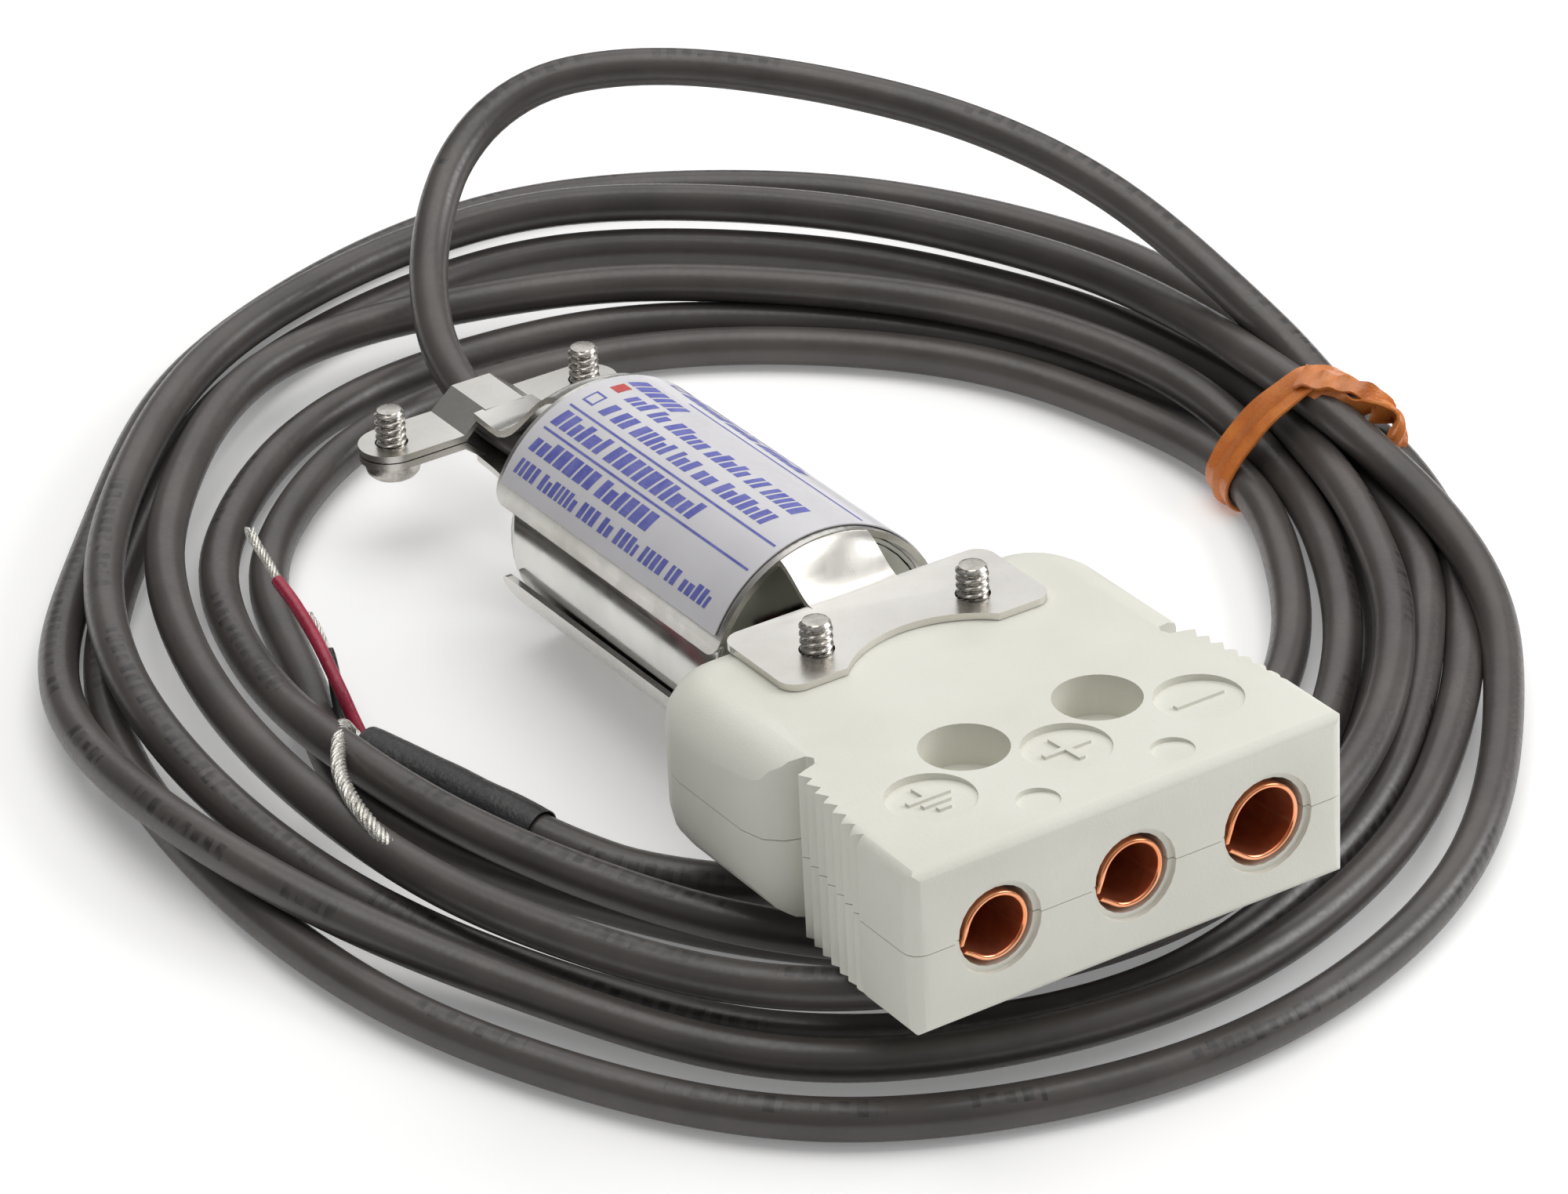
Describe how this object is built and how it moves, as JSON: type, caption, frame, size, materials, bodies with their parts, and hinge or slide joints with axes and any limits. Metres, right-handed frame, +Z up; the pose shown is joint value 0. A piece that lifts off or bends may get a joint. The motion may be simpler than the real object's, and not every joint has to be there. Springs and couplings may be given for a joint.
{
  "type": "thermocouple transmitter lead",
  "caption": "Plug-in temperature transmitter: socket connector, metal can held between stamped brackets, cable clamp, and a tied coil of shielded lead with bared ends.",
  "frame": {"origin": "on the floor, under the middle of the rigid body's bounding box (connector, can, brackets and clamp, without the lead)", "axes": "+Y from the socket face towards the cable clamp, +Z up from the floor, +X towards the negative socket"},
  "size_m": [0.1095, 0.1262, 0.0233],
  "materials": {
    "ivory_plastic": "moulded, slightly satin",
    "copper": "bright rolled copper alloy",
    "nickel_screw": "bright plated",
    "steel_screw": "bright plated",
    "plated_can": "bright drawn",
    "bracket_steel": "satin, tumbled",
    "label_film": "printed film",
    "black_plastic": "moulded",
    "board": "solder mask",
    "capacitor_can": "bright",
    "jacket": "extruded PVC",
    "sleeve": "heat-shrink",
    "insulation_white": "extruded",
    "insulation_red": "extruded",
    "insulation_black": "extruded",
    "tinned_copper": "tinned strands",
    "tie": "satin ribbon"
  },
  "bodies": {
    "root": {"connector_top_half": "ivory_plastic", "connector_bottom_half": "ivory_plastic", "socket_ground": "copper", "socket_positive": "copper", "socket_negative": "copper", "terminal_screw_ground": "nickel_screw", "terminal_screw_positive": "nickel_screw", "terminal_screw_negative": "nickel_screw", "inner_lead_ground": "insulation_white", "inner_lead_positive": "insulation_red", "inner_lead_negative": "insulation_black", "can": "plated_can", "can_front_cap": "plated_can", "can_rear_bush": "black_plastic", "circuit_board": "board", "converter_chip": "black_plastic", "loop_regulator": "black_plastic", "smoothing_capacitor": "capacitor_can", "cable_core_red": "insulation_red", "cable_core_black": "insulation_black", "bracket_upper": "bracket_steel", "bracket_lower": "bracket_steel", "rating_label": "label_film", "body_screw_left": "steel_screw", "body_screw_right": "steel_screw", "clamp_screw_left": "steel_screw", "clamp_screw_right": "steel_screw", "cable_loop": "jacket", "cable_coil": "jacket", "cable_tail": "jacket", "end_sleeve": "sleeve", "wire_red": "insulation_red", "wire_red_tip": "tinned_copper", "wire_black": "insulation_black", "wire_black_tip": "tinned_copper", "drain_wire": "tinned_copper", "twist_tie": "tie"}
  },
  "joints": []
}
